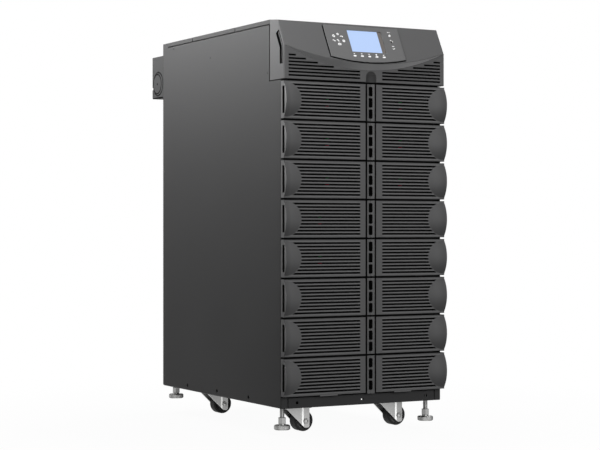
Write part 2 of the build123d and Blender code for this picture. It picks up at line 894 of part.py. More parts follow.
caster_front = front + caster_front_inset
caster_back = back - caster_back_inset
caster_places = {
    "front_left": (-caster_x, caster_front),
    "front_right": (caster_x, caster_front),
    "back_left": (-caster_x, caster_back),
    "back_right": (caster_x, caster_back),
}
with BuildPart() as caster_plates:
    with Locations(*caster_places.values()):
        add(caster_plate.part)
save(caster_plates.part, "caster_plates")

for place, (x, y) in caster_places.items():
    kingpin = Location((x, y, 0))
    save(caster_fork.part.moved(kingpin), f"{place}_fork")
    save(caster_axle.part.moved(kingpin), f"{place}_axle")
    save(wheel_in_fork.moved(kingpin), f"{place}_wheel")
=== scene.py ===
"""Modular UPS cabinet: the finish of every surface and the small fittings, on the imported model."""

from math import pi, radians

import bpy
import numpy as np
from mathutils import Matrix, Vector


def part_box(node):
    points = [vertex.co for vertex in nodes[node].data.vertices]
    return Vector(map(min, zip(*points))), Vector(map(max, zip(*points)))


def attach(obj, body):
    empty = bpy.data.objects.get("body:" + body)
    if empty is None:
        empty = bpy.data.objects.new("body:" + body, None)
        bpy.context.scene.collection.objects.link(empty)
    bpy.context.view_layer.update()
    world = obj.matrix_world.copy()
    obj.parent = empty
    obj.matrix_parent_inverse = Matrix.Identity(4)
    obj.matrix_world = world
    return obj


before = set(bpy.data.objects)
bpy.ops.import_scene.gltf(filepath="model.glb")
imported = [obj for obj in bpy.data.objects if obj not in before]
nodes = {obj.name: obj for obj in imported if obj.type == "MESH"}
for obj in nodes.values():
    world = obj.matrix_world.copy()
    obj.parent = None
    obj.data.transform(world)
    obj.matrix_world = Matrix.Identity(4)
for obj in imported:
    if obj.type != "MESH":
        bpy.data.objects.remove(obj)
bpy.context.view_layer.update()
scene = bpy.context.scene

# Photograph's view
# The camera stands low and far to the left of the front, at the height of the
# middle rows, and looks along the floor with a long lens.
image_width = 600
focal_pixels = 1672.0
sensor_width = 36.0
camera_yaw = radians(28.74)
camera_pitch = radians(0.06)
camera_height = 0.487
camera_left = -2.032
camera_ahead_of_body = 3.396

body_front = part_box("front_plate")[0].y
body_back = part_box("back_panel")[1].y
half_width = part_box("right_side_panel")[1].x
body_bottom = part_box("base_pan")[0].z
body_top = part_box("top_cover")[1].z
bezel_face = body_front - 0.0155

lens = bpy.data.cameras.new("photo_camera")
lens.sensor_width = sensor_width
lens.lens = focal_pixels / image_width * sensor_width
lens.clip_end = 60.0
camera = bpy.data.objects.new("photo_camera", lens)
scene.collection.objects.link(camera)
camera.location = (camera_left, body_front - camera_ahead_of_body, camera_height)
camera.rotation_euler = (pi / 2 + camera_pitch, 0, -camera_yaw)
scene.camera = camera
scene.view_settings.view_transform = "Standard"


# Studio
# A white room. Narrow lamps beside the top edges make the walls darken towards
# the floor, and a broad one lights the front evenly. The floor keeps a pale shadow.
def soft_lamp(name, place, aim, length, breadth, watts, spread=180.0):
    """Oblong area lamp at a place, its long side level, turned to face a point."""
    lamp = bpy.data.lights.new(name, "AREA")
    lamp.shape = "RECTANGLE"
    lamp.size = length
    lamp.size_y = breadth
    lamp.energy = watts
    lamp.spread = radians(spread)
    holder = bpy.data.objects.new(name, lamp)
    scene.collection.objects.link(holder)
    toward = np.array(aim, float) - np.array(place, float)
    reach = np.hypot(toward[0], toward[1])
    holder.location = place
    holder.rotation_euler = (
        pi / 2 + np.arctan2(toward[2], reach),
        0,
        np.arctan2(-toward[0], toward[1]),
    )
    return holder


soft_lamp("left_strip", (-0.72, 0.0, 1.16), (0, 0, 1.16), 1.6, 0.15, 6.0, 140.0)
soft_lamp("front_panel", (0.2, -3.2, 1.0), (0, 0, 0.55), 2.4, 1.2, 27.0)
soft_lamp("ceiling", (0.0, 0.0, 2.6), (0, 0.001, 0.8), 2.0, 2.0, 19.5)
soft_lamp("right_strip", (0.9, 0.35, 1.16), (0, 0.35, 0.9), 1.0, 0.15, 9.0)
soft_lamp("back_strip", (0.0, 1.5, 1.5), (0, 0, 0.7), 1.6, 0.2, 14.0)


def feed(tree, node, sources):
    """Give each input of a node, by name or number, a value or another node's output."""
    for key, source in sources.items():
        if isinstance(source, bpy.types.NodeSocket):
            tree.links.new(source, node.inputs[key])
        else:
            node.inputs[key].default_value = source


def wired(tree, kind, sources, **settings):
    """New shader node with its settings, fed by its sources."""
    node = tree.nodes.new(f"ShaderNode{kind}")
    for name, value in settings.items():
        setattr(node, name, value)
    feed(tree, node, sources)
    return node


def seen_rays(tree):
    """One for a ray from the camera, a reflection or a clear body, and nought for the rest."""
    rays = wired(tree, "LightPath", {}).outputs
    seen = rays["Is Camera Ray"]
    for other in ("Is Glossy Ray", "Is Transmission Ray"):
        seen = wired(tree, "Math", {0: seen, 1: rays[other]}, operation="MAXIMUM").outputs[0]
    return seen


world = bpy.data.worlds.new("white_room")
scene.world = world
world.use_nodes = True
tree = world.node_tree
tree.nodes.clear()
sky_level = 0.02
seen_level = 1.0
dim_sky, seen_sky = (
    wired(tree, "Background", {"Color": (1, 1, 1, 1), "Strength": level}).outputs[0]
    for level in (sky_level, seen_level)
)
sky_pick = wired(tree, "MixShader", {0: seen_rays(tree), 1: dim_sky, 2: seen_sky})
wired(tree, "OutputWorld", {"Surface": sky_pick.outputs[0]})

floor_reach = 14.0
floor_near, floor_far = 0.45, 1.3
floor_shadow_share = 0.04
floor_white = (1, 1, 1, 1)
floor_bounce = (0.12, 0.12, 0.12, 1)
floor_mesh = bpy.data.meshes.new("studio_floor")
floor_corners = np.array(((-1, -1, 0), (1, -1, 0), (1, 1, 0), (-1, 1, 0))) * floor_reach
floor_mesh.from_pydata(floor_corners.tolist(), [], [(0, 1, 2, 3)])
studio_floor = bpy.data.objects.new("studio_floor", floor_mesh)
scene.collection.objects.link(studio_floor)

floor_paint = bpy.data.materials.new("studio_white")
floor_paint.use_nodes = True
tree = floor_paint.node_tree
tree.nodes.clear()
place = wired(tree, "TexCoord", {}).outputs["Object"]
distance = wired(tree, "VectorMath", {0: place}, operation="LENGTH").outputs["Value"]
reach = {"From Min": floor_near, "From Max": floor_far, "To Min": 1 - floor_shadow_share}
fade = wired(tree, "MapRange", {"Value": distance} | reach, interpolation_type="SMOOTHSTEP")
matt = wired(tree, "BsdfDiffuse", {"Color": floor_white})
glow = wired(tree, "Emission", {"Color": floor_white})
dim = wired(tree, "BsdfDiffuse", {"Color": floor_bounce})
shaded = wired(tree, "MixShader", {0: fade.outputs["Result"], 1: matt.outputs[0], 2: glow.outputs[0]})
mix = wired(tree, "MixShader", {0: seen_rays(tree), 1: dim.outputs[0], 2: shaded.outputs[0]})
wired(tree, "OutputMaterial", {"Surface": mix.outputs[0]})
floor_mesh.materials.append(floor_paint)


# Sheet-metal body
# Folded steel sheets with a grey textured powder coat: side panels, top cover
# and back panel, riveted to a frame inside.
def new_group(name, sockets, answers):
    """Node group with named inputs and outputs of given kinds, and what comes in by its inputs."""
    group = bpy.data.node_groups.new(name, "ShaderNodeTree")
    for way, kinds in (("INPUT", sockets), ("OUTPUT", answers)):
        for socket, kind in kinds.items():
            group.interface.new_socket(socket, in_out=way, socket_type=f"NodeSocket{kind}")
    return group, group.nodes.new("NodeGroupInput").outputs


def put_out(group, answers):
    """Link a group's answers to its outputs."""
    feed(group, group.nodes.new("NodeGroupOutput"), answers)
    return group


grain_rise = 0.0004
edge_from, edge_full = 0.985, 0.85
cloud_count = 5.0


def coating_group():
    """Powder coat or moulded grain: fine bumps, a cloudy tone and a mask of the edges.

    The grain is noise at the given count a metre. The tone is broad noise. The
    edge mask compares the true normal with one averaged over a small radius.
    """
    group, given = new_group(
        "surface_grain",
        {"Grain count": "Float", "Grain depth": "Float", "Edge radius": "Float"},
        {"Normal": "Vector", "Edge": "Float", "Tone": "Float"},
    )
    place = wired(group, "TexCoord", {}).outputs["Object"]
    grain = wired(group, "TexNoise", {"Vector": place, "Scale": given["Grain count"], "Detail": 3.0})
    rounded = wired(group, "Bevel", {"Radius": given["Edge radius"]}, samples=6).outputs["Normal"]
    rough = {"Strength": given["Grain depth"], "Distance": grain_rise, "Height": grain.outputs["Fac"]}
    bump = wired(group, "Bump", rough | {"Normal": rounded})
    true_normal = wired(group, "NewGeometry", {}).outputs["Normal"]
    match = wired(group, "VectorMath", {0: rounded, 1: true_normal}, operation="DOT_PRODUCT").outputs["Value"]
    edge = wired(group, "MapRange", {"Value": match, "From Min": edge_from, "From Max": edge_full})
    cloud = wired(group, "TexNoise", {"Vector": place, "Scale": cloud_count, "Detail": 4.0})
    return put_out(
        group,
        {"Normal": bump.outputs["Normal"], "Edge": edge.outputs["Result"], "Tone": cloud.outputs["Fac"]},
    )


surface_grain = coating_group()
gloss_swing = 0.06


def grained_finish(name, colour, roughness, count, depth, edge, lift, swing, shine=0.5, metal=0.0):
    """Material of one finish: its colour, roughness and grain.

    The grain has a count a metre and a depth. Within the edge's radius the colour rises by the lift, a
    painted highlight, or falls where it is negative, painted shade. The tone swings either way.
    """
    finish = bpy.data.materials.new(name)
    finish.use_nodes = True
    tree = finish.node_tree
    sizes = {"Grain count": count, "Grain depth": depth, "Edge radius": edge}
    grain = wired(tree, "Group", sizes, node_tree=surface_grain).outputs
    low, high, painted_edge = (
        tuple(min(1.0, channel * scale) for channel in colour) + (1,)
        for scale in (1 - swing, 1 + swing, 1 + lift)
    )
    shade = low
    for mask, other in (("Tone", high), ("Edge", painted_edge)):
        both = {"Factor": grain[mask], "A": shade, "B": other}
        shade = wired(tree, "Mix", both, data_type="RGBA").outputs["Result"]
    span = {"To Min": roughness - gloss_swing, "To Max": roughness + gloss_swing}
    gloss = wired(tree, "MapRange", {"Value": grain["Tone"]} | span).outputs["Result"]
    looks = {"Base Color": shade, "Roughness": gloss, "Normal": grain["Normal"]}
    feed(tree, tree.nodes["Principled BSDF"], looks | {"Specular IOR Level": shine, "Metallic": metal})
    return finish


def dress(material, *names):
    """Give CAD nodes their finish."""
    for name in names:
        mesh = nodes[name].data
        mesh.materials.clear()
        mesh.materials.append(material)


box_fade = 0.0003


def hollow_group():
    """One inside a box of the object's own space, and nought outside it.

    The box's X is measured either way from the middle. Its Y is a depth behind a
    face that leans back above the fold by the lean. Its Z starts again with each
    row. The mask is one where the point, held to the box, hardly moves.
    """
    group, given = new_group(
        "hollow_mask",
        {"Low": "Vector", "High": "Vector"}
        | {name: "Float" for name in ("Middle", "Row low", "Row high", "Fold", "Lean")},
        {"Mask": "Float"},
    )

    def sum_of(operation, *terms):
        return wired(group, "Math", dict(enumerate(terms)), operation=operation).outputs[0]

    place = wired(group, "TexCoord", {}).outputs["Object"]
    parts = wired(group, "SeparateXYZ", {0: place}).outputs
    aside = sum_of("ABSOLUTE", sum_of("SUBTRACT", parts["X"], given["Middle"]))
    above = sum_of("MAXIMUM", sum_of("SUBTRACT", parts["Z"], given["Fold"]), 0.0)
    depth = sum_of("SUBTRACT", parts["Y"], sum_of("MULTIPLY", above, given["Lean"]))
    level = sum_of("WRAP", parts["Z"], given["Row high"], given["Row low"])
    point = wired(group, "CombineXYZ", {"X": aside, "Y": depth, "Z": level}).outputs[0]
    held = point
    for operation, limit in (("MAXIMUM", "Low"), ("MINIMUM", "High")):
        held = wired(group, "VectorMath", {0: held, 1: given[limit]}, operation=operation).outputs[0]
    moved = wired(group, "VectorMath", {0: point, 1: held}, operation="DISTANCE").outputs["Value"]
    soft = wired(group, "MapRange", {"Value": moved, "From Min": box_fade, "From Max": 0.0})
    return put_out(group, {"Mask": soft.outputs["Result"]})


hollow_mask = hollow_group()
beyond = 9.0


def box_share(finish, box):
    """One inside a box, which is a dict of the mask group's inputs."""
    sides = {"Row low": -beyond, "Row high": beyond, "Fold": beyond} | box
    return wired(finish.node_tree, "Group", sides, node_tree=hollow_mask).outputs["Mask"]


def combined(finish, operation, shares):
    """Shares taken together, two at a time, by one operation."""
    whole = shares[0]
    for share in shares[1:]:
        whole = wired(finish.node_tree, "Math", {0: whole, 1: share}, operation=operation).outputs[0]
    return whole


def source_of(finish, socket):
    """What feeds one input of a finish's shader so far."""
    return finish.node_tree.nodes["Principled BSDF"].inputs[socket].links[0].from_socket


def paint_shade_black(finish, black, *boxes):
    """Paint a finish matt black inside boxes, as painted shade."""
    tree = finish.node_tree
    mask = combined(finish, "MAXIMUM", [box_share(finish, box) for box in boxes])
    for socket, kind, shade_value in (("Base Color", "RGBA", (*black, 1)), ("Roughness", "FLOAT", 1.0)):
        both = {"Factor": mask, "A": source_of(finish, socket), "B": shade_value}
        shade_mix = wired(tree, "Mix", both, data_type=kind).outputs["Result"]
        feed(tree, tree.nodes["Principled BSDF"], {socket: shade_mix})


def axis_group():
    """Smooth share from nought to one as a measure goes from Start to End.

    The measure is the place's component along Place plus the normal's component
    along Facing. Both ways takes its size.
    """
    group, given = new_group(
        "axis_share",
        {"Place": "Vector", "Facing": "Vector", "Start": "Float", "End": "Float", "Both ways": "Float"},
        {"Share": "Float"},
    )
    place = wired(group, "TexCoord", {}).outputs["Object"]
    normal = wired(group, "NewGeometry", {}).outputs["Normal"]
    along, toward = (
        wired(group, "VectorMath", {0: source, 1: given[name]}, operation="DOT_PRODUCT").outputs["Value"]
        for source, name in ((place, "Place"), (normal, "Facing"))
    )
    total = wired(group, "Math", {0: along, 1: toward}, operation="ADD").outputs[0]
    size = wired(group, "Math", {0: total}, operation="ABSOLUTE").outputs[0]
    measure = wired(group, "Mix", {"Factor": given["Both ways"], "A": total, "B": size}).outputs["Result"]
    limits = {"From Min": given["Start"], "From Max": given["End"]}
    share = wired(group, "MapRange", {"Value": measure} | limits, interpolation_type="SMOOTHSTEP")
    return put_out(group, {"Share": share.outputs["Result"]})


axis_mask = axis_group()


def axis_share(finish, kind, axis, start, end, size=False):
    """Share from nought to one as a place's or a facing's X, Y or Z goes from start to end."""
    way = tuple(float(letter == axis) for letter in "XYZ")
    limits = {kind: way, "Start": start, "End": end, "Both ways": float(size)}
    return wired(finish.node_tree, "Group", limits, node_tree=axis_mask).outputs["Share"]


def tint_group():
    """Colour scaled by the Amount where the Share is one, and by less where it is less."""
    sockets = {"Colour": "Color", "Share": "Float", "Amount": "Float"}
    group, given = new_group("tint", sockets, {"Colour": "Color"})
    scale = wired(group, "MapRange", {"Value": given["Share"], "To Min": 1.0, "To Max": given["Amount"]})
    both = {0: given["Colour"], "Scale": scale.outputs["Result"]}
    scaled = wired(group, "VectorMath", both, operation="SCALE")
    return put_out(group, {"Colour": scaled.outputs[0]})


tint_colour = tint_group()


def tint(finish, amount, *shares):
    """Scale a finish's colour by an amount where the product of some shares is one."""
    tree = finish.node_tree
    share = combined(finish, "MULTIPLY", shares)
    sources = {"Colour": source_of(finish, "Base Color"), "Share": share, "Amount": amount}
    tinted = wired(tree, "Group", sources, node_tree=tint_colour).outputs["Colour"]
    feed(tree, tree.nodes["Principled BSDF"], {"Base Color": tinted})


powder_grey = grained_finish(
    "powder_coated_steel", (0.104, 0.104, 0.105),
    roughness=0.6, count=900.0, depth=0.12,
    edge=0.0032, lift=-0.9, swing=0.05, shine=0.15,
)
hood_low, hood_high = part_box("head_bezel")
strip_low, strip_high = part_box("vent_strips")
painted_shade_black = (0.002, 0.002, 0.002)
seam_inner = 0.15
front_shade = 0.62
# Painted shade: the sheets' faces inside the hood and the front flanges behind the bezels are painted black,
# and faces that look forward darker.
paint_shade_black(
    powder_grey,
    painted_shade_black,
    {
        "Low": (seam_inner, -beyond, hood_low.z),
        "High": (half_width - 0.0004, hood_high.y + 0.0032, body_top - 0.002),
    },
    {
        "Low": (seam_inner, -beyond, strip_low.z),
        "High": (half_width - 0.0003, body_front + 0.0008, hood_low.z),
    },
)
tint(powder_grey, front_shade, axis_share(powder_grey, "Facing", "Y", -0.6, -0.9))
dress(powder_grey, "left_side_panel", "right_side_panel", "top_cover", "back_panel")

# Base pan
# A folded pan of the same steel under the cabinet. Its coat is painted darker than the sides', as painted
# shade from the bezels above.
# Its front skirt closes the gap above the floor.
pan_grey = grained_finish(
    "base_pan_coat", (0.06, 0.06, 0.061),
    roughness=0.6, count=900.0, depth=0.12,
    edge=0.0016, lift=-0.7, swing=0.05, shine=0.15,
)
dress(pan_grey, "base_pan")

# Wiring box
# A folded box riveted to the back, with its cover and pairs of eccentric conduit knockouts. Painted shade:
# the knockouts' recesses and the box's underside, with a strip along the bottom of its side, are painted
# black.
box_grey = grained_finish(
    "wiring_box_coat", (0.09, 0.09, 0.091),
    roughness=0.6, count=900.0, depth=0.12,
    edge=0.002, lift=-0.6, swing=0.05, shine=0.15,
)
box_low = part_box("wiring_box")[0]
knock_low, knock_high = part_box("knockouts")
knock_edge = 0.0016
box_shade_black = (0.003, 0.003, 0.003)
paint_shade_black(
    box_grey,
    box_shade_black,
    {
        "Low": (half_width - 0.004, knock_low.y - knock_edge, knock_low.z - knock_edge),
        "High": (half_width - 0.0005, knock_high.y + knock_edge, knock_high.z + knock_edge),
    },
    {
        "Low": (half_width - 0.004, body_back + 0.002, -beyond),
        "High": (beyond, beyond, box_low.z + 0.003),
    },
)
line_fade = 0.0003


def axis_distance(finish, centre, across):
    """Distance of a place from an axis through a centre. Across is one on each axis square to it."""
    tree = finish.node_tree
    place = wired(tree, "TexCoord", {}).outputs["Object"]
    move = {"Location": tuple(-part for part in centre), "Scale": across}
    centred = wired(tree, "Mapping", {"Vector": place} | move).outputs["Vector"]
    return wired(tree, "VectorMath", {0: centred}, operation="LENGTH").outputs["Value"]


def even_share(finish, value, start, end):
    """Share from nought to one as a value goes evenly from start to end."""
    limits = {"Value": value, "From Min": start, "From Max": end}
    return wired(finish.node_tree, "MapRange", limits).outputs["Result"]


def ring_share(finish, centre, radius, half):
    """One on a circle round the X axis through a (y, z) centre, within half a line's width."""
    tree = finish.node_tree
    away = axis_distance(finish, (0, *centre), (0, 1, 1))
    off = wired(tree, "Math", {0: away, 1: radius}, operation="SUBTRACT").outputs[0]
    size = wired(tree, "Math", {0: off}, operation="ABSOLUTE").outputs[0]
    return even_share(finish, size, half + line_fade, half)


inner_ring = ((knock_low.y + knock_high.y) / 2, (knock_low.z + knock_high.z) / 2)
ring_shift = 0.0055
outer_ring = (inner_ring[0] - ring_shift, inner_ring[1])
cut_shade = 0.05
# Dark rings on the knockouts' cut lines, drawn wider than the cuts: the cuts are real, their width is painted
# shade.
for centre, radius, half in ((inner_ring, 0.0255, 0.0019), (outer_ring, 0.0309, 0.0021)):
    tint(box_grey, cut_shade, ring_share(box_grey, centre, radius, half))
dress(box_grey, "wiring_box", "wiring_box_cover", "knockouts")


def tube_faces(rings, around, start=0):
    """Faces of a tube of rings of points, each joined to the next, with flat ends.

    Seen from the last ring, the points of a ring run anticlockwise. The points
    are numbered ring by ring from the start.
    """
    step, turn = np.meshgrid(np.arange(rings - 1), np.arange(around), indexing="ij")
    here, after = step * around + turn, step * around + (turn + 1) % around
    quads = np.stack((here, after, after + around, here + around), axis=-1).reshape(-1, 4)
    rim = np.arange(around) + start
    return (quads + start).tolist() + [rim[::-1].tolist(), (rim + (rings - 1) * around).tolist()]


sharp_from = radians(35)


def piece_of(name, points, faces, body, finish):
    """New piece from its points and faces, with its body and finish."""
    mesh = bpy.data.meshes.new(name)
    mesh.from_pydata(points.tolist(), [], faces)
    mesh.shade_smooth()
    mesh.set_sharp_from_angle(angle=sharp_from)
    mesh.materials.append(finish)
    piece = bpy.data.objects.new(name, mesh)
    scene.collection.objects.link(piece)
    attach(piece, body)
    return piece


def turned(name, profile, centres, axis, body, finish, sides=24):
    """Round fittings, one at each centre, as one piece.

    The profile is a list of (radius, height). A point of it goes to centre plus
    height along the axis, plus radius round the axis at even angles. Both ends
    are closed by flat faces.
    """
    axis = np.array(axis, float)
    side = np.array((0.0, 0.0, 1.0)) if abs(axis[2]) < 0.5 else np.array((1.0, 0.0, 0.0))
    other = np.cross(axis, side)
    angle = np.arange(sides) * 2 * pi / sides
    radius, height = np.array(profile, float).T
    ring = np.cos(angle)[:, None] * side + np.sin(angle)[:, None] * other
    shape = height[:, None, None] * axis + radius[:, None, None] * ring
    points = (np.array(centres, float)[:, None, None, :] + shape).reshape(-1, 3)
    faces = []
    for start in range(0, len(points), len(profile) * sides):
        faces += tube_faces(len(profile), sides, start)
    return piece_of(name, points, faces, body, finish)


rivet_profile = ((0.0021, 0.0), (0.0021, 0.0003), (0.0016, 0.0007), (0.0007, 0.0009), (0.0002, 0.0009))
rivet_places = ((0.595, 0.885), (0.374, 0.842), (0.066, 0.779))
rivet_dark = grained_finish(
    "dark_rivet_steel", (0.03, 0.03, 0.031),
    roughness=0.45, count=1500.0, depth=0.08,
    edge=0.0003, lift=0.6, swing=0.1, shine=0.3,
)
for side, name in ((-1, "left_panel_rivets"), (1, "right_panel_rivets")):
    centres = [(side * half_width, body_front + back, body_bottom + up) for back, up in rivet_places]
    turned(name, rivet_profile, centres, (side, 0, 0), "cabinet", rivet_dark)

# Chassis face and modules
# Black painted steel behind the bezels: the frame of the module slots and the
# modules' own housings, which show only as darkness through the grilles.
chassis_black = grained_finish(
    "black_chassis_paint", (0.006, 0.006, 0.006),
    roughness=0.8, count=700.0, depth=0.1,
    edge=0.0006, lift=0.3, swing=0.1, shine=0.05,
)
dress(chassis_black, "front_plate", "module_housings")

# Module bezels
# Dark grey ABS mouldings with a fine spark-eroded grain, snapped on to the
# front of each module. Inside the slots, row gaps and finger pockets the shade is painted black.
plastic_colour = (0.181, 0.181, 0.183)
shade_start = 0.0006
rows = 8
strip_middle = (strip_low.x + strip_high.x) / 2
bezel_low, bezel_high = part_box("left_bezel_1")
row_pitch = (bezel_low.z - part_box("left_bezel_7")[0].z) / (rows - 2)
row_bottom = (bezel_low.z + bezel_high.z) / 2 - (rows - 0.5) * row_pitch
bezel_grey = grained_finish(
    "moulded_grey_plastic", plastic_colour,
    roughness=0.58, count=2600.0, depth=0.1,
    edge=0.0013, lift=-0.85, swing=0.04, shine=0.22,
)
row_gap = 0.004
slot_pitch = 0.0078
rim_half = 0.0014
rim_light = 1.5
flat_half = 0.0304
row_middle = row_bottom + row_pitch / 2
skin_depth = 0.0007
mouth_skin = 0.0009
pocket_ahead, mouth_ahead, mouth_back = 0.0178, 0.0181, 0.008
one_row = {"Row low": row_bottom, "Row high": row_bottom + row_pitch}
pocket_inner = 0.0215
pocket_half = 0.0312
mouth_half = 0.0314
# Painted shade: black inside the slots and finger pockets, and a black shadow line round each pocket's mouth
paint_shade_black(
    bezel_grey,
    painted_shade_black,
    {"Low": (0, bezel_face + shade_start, -beyond), "High": (half_width - skin_depth, beyond, beyond)},
    {
        "Low": (half_width - pocket_inner, body_front - pocket_ahead, row_middle - pocket_half),
        "High": (half_width - skin_depth, beyond, row_middle + pocket_half),
        **one_row,
    },
    {
        "Low": (half_width - mouth_skin, body_front - mouth_ahead, row_middle - mouth_half),
        "High": (beyond, body_front - mouth_back, row_middle + mouth_half),
        **one_row,
    },
)
gap_line = row_gap / 2 + shade_start
gap_shade = 0.02
row_line = {
    "Low": (0, -beyond, row_bottom - gap_line),
    "High": (beyond, beyond, row_bottom + gap_line),
    "Row low": row_bottom - row_pitch / 2,
    "Row high": row_middle,
}
# Painted shade: the gaps between rows black, all but the lowest
tint(
    bezel_grey,
    gap_shade,
    box_share(bezel_grey, row_line),
    axis_share(bezel_grey, "Place", "Z", row_bottom + row_pitch / 3, row_middle),
)


def height_in_row(finish, *steps):
    """Height that starts again with each row, then taken through steps of (operation, terms)."""
    tree = finish.node_tree
    place = wired(tree, "TexCoord", {}).outputs["Object"]
    value = wired(tree, "SeparateXYZ", {0: place}).outputs["Z"]
    for operation, *terms in (("WRAP", row_bottom + row_pitch, row_bottom), *steps):
        value = wired(tree, "Math", dict(enumerate((value, *terms))), operation=operation).outputs[0]
    return value


def paint_bar_highlights(finish):
    """Bars between the slots are paler along their middle, a painted highlight, but not on the ears and the
    flats by the strip.
    """
    from_bar = height_in_row(
        finish,
        ("WRAP", row_middle + slot_pitch / 2, row_middle - slot_pitch / 2),
        ("SUBTRACT", row_middle),
        ("ABSOLUTE",),
    )
    rim = even_share(finish, from_bar, rim_half, rim_half * 0.5)
    on_face = axis_share(finish, "Place", "Y", bezel_face - 0.0004, bezel_face - 0.0001)
    for low, high in (
        (0.001 - half_width, strip_middle - flat_half),
        (strip_middle + flat_half, half_width - 0.001),
    ):
        after_low = axis_share(finish, "Place", "X", low, low + 0.0002)
        before_high = axis_share(finish, "Place", "X", high, high - 0.0002)
        tint(finish, rim_light, rim, on_face, after_low, before_high)


wall_light, ear_light, low_edge_light = 2.2, 1.8, 1.5
under_shade, end_shade = 0.6, 0.8


def paint_wall_light_and_shade(finish):
    """Walls that look aside are paler, and the ears' undersides darker: painted light and painted shade.

    The walls are palest towards the floor and, ahead of the face, towards the top
    of each row. The ears' outer ends are painted darker and the lowest edge paler, with tints of their own.
    """
    aside = axis_share(finish, "Facing", "X", 0.6, 0.9, size=True)
    down = axis_share(finish, "Place", "Z", 1.15, 0.05)
    ahead = axis_share(finish, "Place", "Y", bezel_face - 0.0001, bezel_face - 0.0009)
    under = axis_share(finish, "Facing", "Z", 0.0, -0.5)
    right_end = axis_share(finish, "Place", "X", half_width - 0.03, half_width - 0.003)
    left_end = axis_share(finish, "Place", "X", 0.014 - half_width, 0.004 - half_width)
    forward = axis_share(finish, "Facing", "Y", -0.3, -0.6)
    upper = even_share(
        finish, height_in_row(finish), row_bottom + 0.3 * row_pitch, row_bottom + 0.8 * row_pitch
    )
    lowest_edge = axis_share(finish, "Place", "Z", row_bottom + 0.0019, row_bottom + 0.0016)
    for amount, *shares in (
        (wall_light, aside, down),
        (ear_light, aside, ahead, upper),
        (under_shade, under, ahead),
        (end_shade, right_end, ahead),
        (end_shade, left_end, ahead, forward),
        (low_edge_light, lowest_edge),
    ):
        tint(finish, amount, *shares)


paint_wall_light_and_shade(bezel_grey)
paint_bar_highlights(bezel_grey)
dress(bezel_grey, *[f"{side}_bezel_{row + 1}" for side in ("left", "right") for row in range(rows)])

# Centre strips
# Grooved mouldings of the same plastic, one between each pair of bezels, with
# three windows that open into the slot behind them. Inside the windows and along the strip's sides the shade
# is painted black.
strip_half = (strip_high.x - strip_low.x) / 2
strip_skin = 0.0003
window_start = 0.0022
strip_grey = grained_finish(
    "strip_grey_plastic", plastic_colour,
    roughness=0.52, count=2600.0, depth=0.08,
    edge=0.001, lift=-0.7, swing=0.04, shine=0.25,
)
paint_shade_black(
    strip_grey,
    painted_shade_black,
    {
        "Middle": strip_middle,
        "Low": (0, strip_low.y + window_start, -beyond),
        "High": (strip_half - strip_skin, beyond, beyond),
    },
    {
        "Middle": strip_middle,
        "Low": (strip_half - strip_skin, strip_low.y + shade_start, -beyond),
        "High": (beyond, beyond, beyond),
    },
)
dress(strip_grey, "vent_strips")


# Module lamps
# Small green and red light pipes that stand on the face of a module and shine
# through the fourth and the second gap from the middle of its grille.
def lit_lens(name, colour, glow, streaks=900.0):
    """Material of a clear coloured lens with a faint light of its own."""
    finish = bpy.data.materials.new(name)
    finish.use_nodes = True
    tree = finish.node_tree
    skin = tree.nodes["Principled BSDF"]
    feed(tree, skin, {"Roughness": 0.25, "Emission Strength": glow})
    place = wired(tree, "TexCoord", {}).outputs["Object"]
    streak = wired(tree, "TexNoise", {"Vector": place, "Scale": streaks}).outputs["Fac"]
    for socket, share in (("Base Color", 1.0), ("Emission Color", 0.8)):
        dark, full = ((*(channel * share * part for channel in colour), 1) for part in (0.7, 1.0))
        blend = wired(tree, "Mix", {"Factor": streak, "A": dark, "B": full}, data_type="RGBA")
        feed(tree, skin, {socket: blend.outputs["Result"]})
    return finish


lamp_face = 0.0125
lamp_profile = (
    (0.0009, 0.0),
    (0.0009, lamp_face - 0.0009),
    (0.0008, lamp_face - 0.0003),
    (0.0005, lamp_face - 0.0001),
    (0.0002, lamp_face),
)
lamp_columns = {row: (-0.1013, 0.0993) for row in (1, 2, 3)} | {row: (-0.1206,) for row in (4, 5)}
for name, colour, glow, rise in (
    ("module_lamps_green", (0.01, 0.26, 0.06), 0.06, 0.0039),
    ("module_lamps_red", (0.45, 0.015, 0.06), 0.09, -0.0117),
):
    centres = [
        (across, body_front, row_bottom + (rows - row + 0.5) * row_pitch + rise)
        for row, columns in lamp_columns.items()
        for across in columns
    ]
    lens = lit_lens(f"{name}_lens", colour, glow)
    turned(name, lamp_profile, centres, (0, -1, 0), "cabinet", lens, sides=16)

# Control head
# A hood moulded in the same plastic, hooked over the top edge of the cabinet.
# Inside the openings of its chin and of its side grips the shade is painted black.
fold_height = 0.905
slope_run, slope_rise = 0.0325, 0.061
slope_lean = slope_run / slope_rise
niche_half = 0.0165
head_grey = grained_finish(
    "head_grey_plastic", plastic_colour,
    roughness=0.56, count=2600.0, depth=0.1,
    edge=0.0009, lift=-0.4, swing=0.04, shine=0.22,
)
paint_shade_black(
    head_grey,
    painted_shade_black,
    *(
        {
            "Middle": (near + far) / 2,
            "Low": (0, bezel_face + 0.001, -beyond),
            "High": ((far - near) / 2, beyond, fold_height + slope_rise - 0.001),
            "Fold": fold_height,
            "Lean": slope_lean,
        }
        for near, far in (
            (0.0048 - half_width, strip_middle - niche_half),
            (strip_middle + niche_half, half_width - 0.0048),
        )
    ),
    {
        "Low": (0, bezel_face + 0.0128, -beyond),
        "High": (half_width - 0.0006, beyond, body_top - 0.012),
        "Fold": fold_height,
        "Lean": slope_lean,
    },
)
chin_round = 0.0045
chin_front = (0, -0.97, 0.24)
chin_light, chin_right_light = 2.15, 1.7


